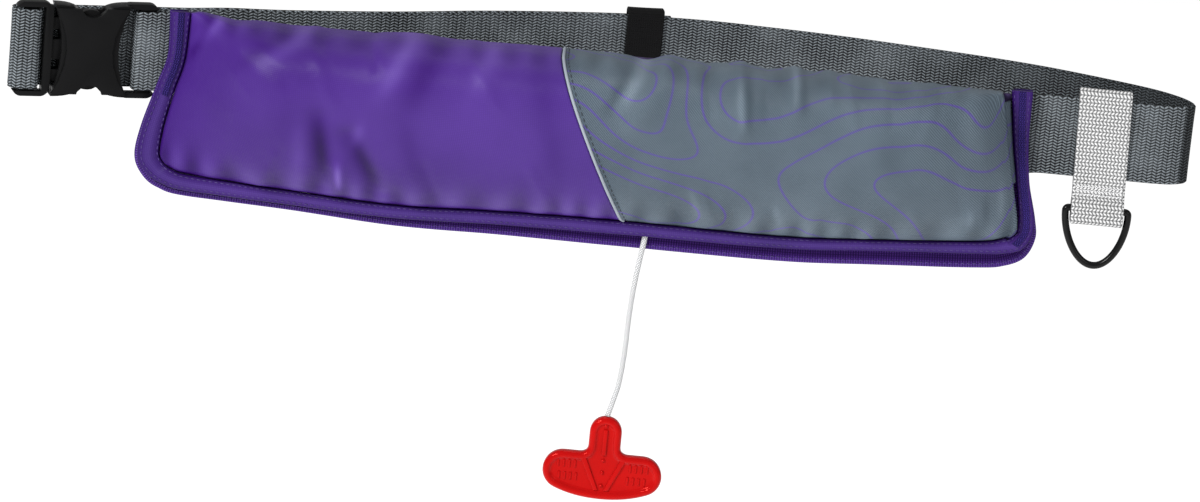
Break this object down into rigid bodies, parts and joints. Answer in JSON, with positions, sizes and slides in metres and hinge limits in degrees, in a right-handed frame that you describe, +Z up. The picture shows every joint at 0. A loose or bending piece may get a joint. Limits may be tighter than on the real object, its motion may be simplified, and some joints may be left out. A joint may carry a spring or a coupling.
{
  "type": "inflatable belt pack",
  "caption": "Slim padded waist pouch on a webbing belt with side-release buckle, elastic keeper, ring on a white tab and a red pull handle on a cord, held as a worn loop.",
  "frame": {"origin": "middle of the waist loop, at the webbing's mid height", "axes": "+Z up along the waist's axis, +X to the right as seen from the front, and the pouch's front faces -Y"},
  "size_m": [0.5553, 0.1399, 0.2218],
  "materials": {
    "webbing": "woven grey webbing, matte",
    "buckle": "moulded, fine matte",
    "keeper": "woven elastic, matte",
    "panel": "matte",
    "binding": "ribbed binding tape, matte",
    "band": "coated cloth, satin",
    "cover_purple": "coated cloth, satin",
    "cover_grey": "coated twill, satin",
    "strip": "hook strip, matte",
    "bladder": "coated cloth, matte",
    "tab": "woven white webbing, matte",
    "ring": "gloss coated",
    "cord": "braided, matte",
    "handle": "moulded, gloss"
  },
  "bodies": {
    "pack": {"belt_webbing": "webbing", "buckle_socket": "buckle", "buckle_plug": "buckle", "strap_keeper": "keeper", "back_panel": "panel", "back_binding": "binding", "front_band": "band", "cover_left": "cover_purple", "cover_right": "cover_grey", "closure_flap": "cover_grey", "closure_strip_left": "strip", "closure_strip_right": "strip", "folded_bladder": "bladder", "ring_tab": "tab", "pull_cord": "cord", "pull_handle": "handle"},
    "ring": {"d_ring": "ring"}
  },
  "joints": [
    {"name": "ring_swing", "type": "hinge", "parent": "pack", "child": "ring", "pos_m": [0.2385, -0.0455, -0.034], "axis": [1, 0, 0], "range_deg": [-150, 150]}
  ]
}
